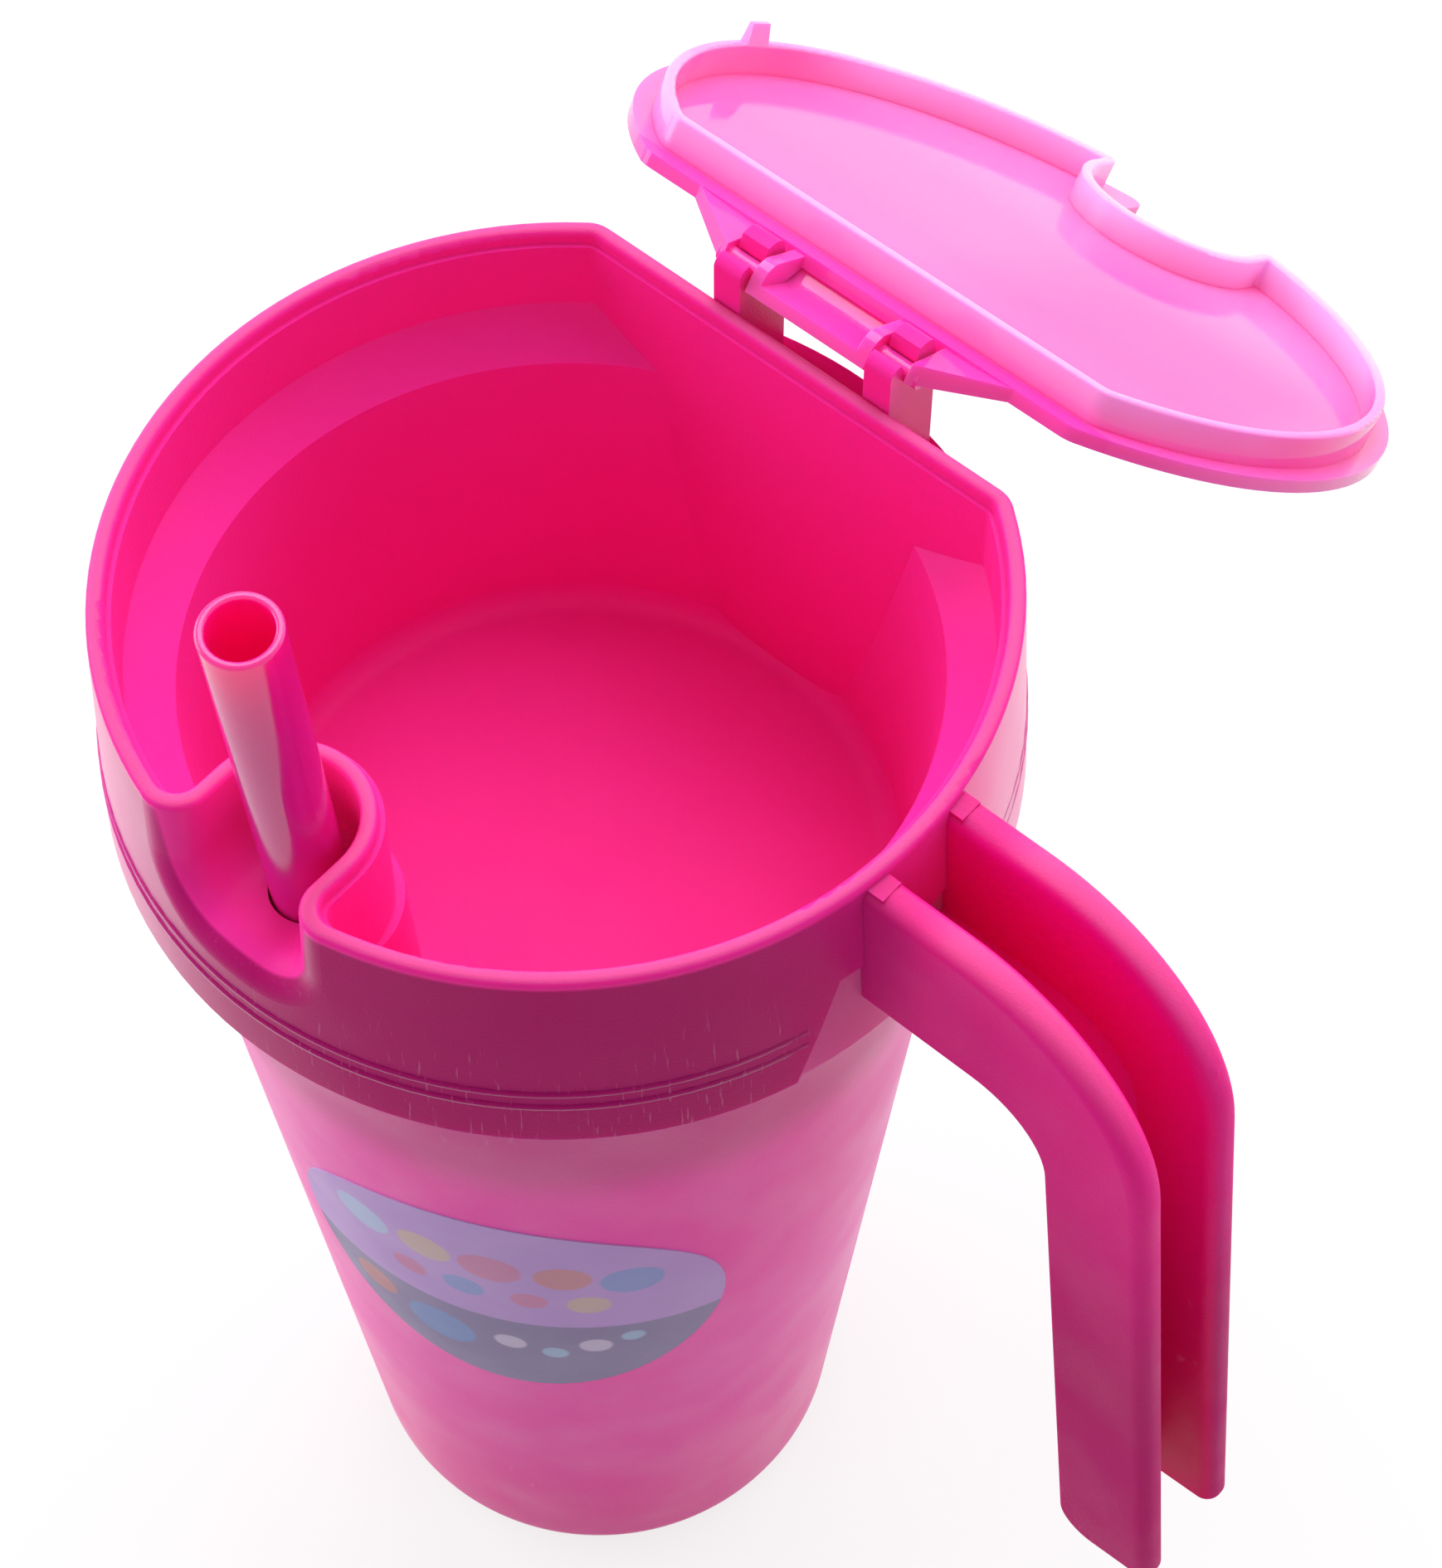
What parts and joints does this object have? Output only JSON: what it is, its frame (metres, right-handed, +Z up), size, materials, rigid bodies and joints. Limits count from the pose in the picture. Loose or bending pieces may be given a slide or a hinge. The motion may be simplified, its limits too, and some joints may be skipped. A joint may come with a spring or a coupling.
{
  "type": "snack and drink cup",
  "caption": "Tapered drinking cup under a lift-off snack bowl with a hinged lid, an open-channel side handle and a drinking straw that stands in a bay of the bowl's rim.",
  "frame": {"origin": "centre of the cup's flat base, on the surface that it stands on", "axes": "+Z up along the cup's axis, +X towards the handle, -Y towards the straw, +Y towards the lid's hinge"},
  "size_m": [0.156, 0.1785, 0.2403],
  "materials": {
    "cup_plastic": "frosted, slightly translucent pink",
    "bowl_plastic": "smooth satin pink",
    "handle_plastic": "fine matt grain, pink",
    "lid_plastic": "glossy translucent light pink",
    "straw_plastic": "smooth pink",
    "seal_rubber": "smooth whitish silicone",
    "label_film": "printed film"
  },
  "bodies": {
    "cup": {"cup_body": "cup_plastic", "cup_label": "label_film"},
    "seal": {"seal_ring": "seal_rubber"},
    "bowl": {"snack_bowl": "bowl_plastic", "carry_handle": "handle_plastic", "hinge_posts": "bowl_plastic"},
    "straw": {"drinking_straw": "straw_plastic"},
    "lid": {"snack_lid": "lid_plastic"}
  },
  "joints": [
    {"name": "bowl_lift", "type": "slide", "parent": "cup", "child": "seal", "axis": [0, 0, 1], "range_m": [0, 0.18]},
    {"name": "bowl_turn", "type": "hinge", "parent": "seal", "child": "bowl", "pos_m": [0, 0, 0.182], "axis": [0, 0, 1], "range_deg": [0, 270]},
    {"name": "straw_slide", "type": "slide", "parent": "bowl", "child": "straw", "axis": [0.0223, -0.0763, 0.9968], "range_m": [0, 0.175]},
    {"name": "lid_hinge", "type": "hinge", "parent": "bowl", "child": "lid", "pos_m": [0, 0.0454, 0.2037], "axis": [1, 0, 0], "range_deg": [0, 216.6]}
  ]
}
